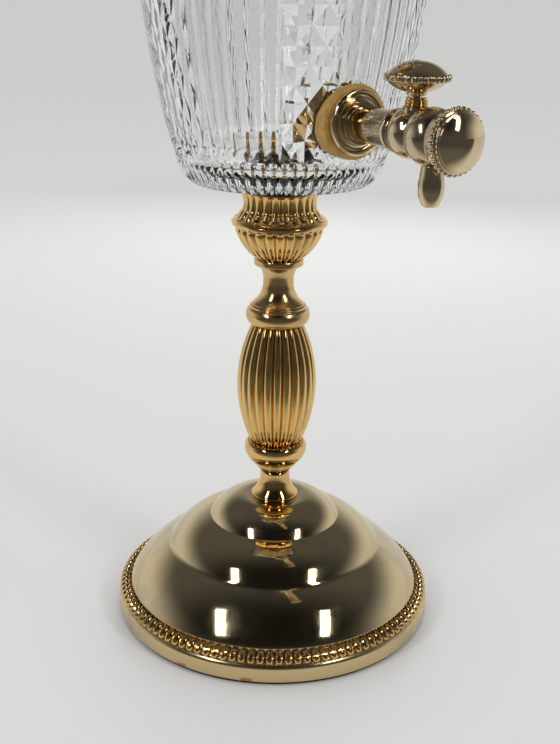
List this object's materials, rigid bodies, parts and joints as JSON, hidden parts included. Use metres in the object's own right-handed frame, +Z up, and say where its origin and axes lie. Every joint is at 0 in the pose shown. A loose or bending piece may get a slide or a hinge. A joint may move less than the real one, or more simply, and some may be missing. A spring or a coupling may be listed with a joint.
{
  "type": "absinthe fountain",
  "caption": "Table-top drinks fountain: cut-glass bowl with a domed lid on a gold-plated stepped base and turned stem, with a beaded screw-down tap on the bowl's side.",
  "frame": {"origin": "middle of the base's underside, on the table, on the stand's axis", "axes": "+Z up along the stand's axis, -Y along the tap from the bowl to the end cap, +X to the right of the tap as seen from in front of it"},
  "size_m": [0.14, 0.185, 0.404],
  "materials": {
    "gold": "polished",
    "pale_gold": "polished",
    "iron": "rough",
    "steel": "bright",
    "glass": "cut and polished",
    "rubber": "matt",
    "felt": "felt"
  },
  "bodies": {
    "fountain": {"base_pad": "felt", "plinth_ring": "pale_gold", "base_dome": "pale_gold", "base_bead_border": "gold", "ballast_plate": "iron", "rod_washer": "steel", "rod_nut": "steel", "tie_rod": "steel", "stem_foot": "gold", "lower_cup": "gold", "ribbed_barrel": "gold", "barrel_ring": "gold", "stem_neck": "gold", "neck_flange": "gold", "collar_bulb": "gold", "collar_crown": "gold", "bowl_seat_gasket": "rubber", "glass_bowl": "glass", "bowl_grommet": "rubber", "bowl_washer": "gold", "bowl_nut": "gold", "tap_seal_outer": "rubber", "tap_flange": "gold", "tap_body": "gold", "tap_seal_inner": "rubber", "shank_washer": "gold", "shank_nut": "gold", "nozzle": "gold", "end_cap": "gold", "end_cap_seal": "rubber", "bonnet": "gold", "bonnet_packing": "rubber"},
    "valve": {"valve_jumper": "steel", "valve_washer": "rubber"},
    "handle": {"spindle": "steel", "knob": "gold"},
    "lid": {"lid_gasket": "rubber", "lid_dome": "pale_gold", "lid_collar": "pale_gold", "lid_bead_border": "gold", "finial": "gold", "finial_nut": "steel"}
  },
  "joints": [
    {"name": "valve_lift", "type": "slide", "parent": "fountain", "child": "valve", "axis": [0, 0, 1], "range_m": [0, 0.0015]},
    {"name": "knob_turn", "type": "hinge", "parent": "valve", "child": "handle", "pos_m": [0, -0.086, 0.2351], "axis": [0, 0, 1], "range_deg": [0, 480]},
    {"name": "lid_lift", "type": "slide", "parent": "fountain", "child": "lid", "axis": [0, 0, 1], "range_m": [0, 0.14]}
  ],
  "couplings": [
    {"joint": "valve_lift", "follows": "knob_turn", "m_per_rad": 0.000159}
  ]
}
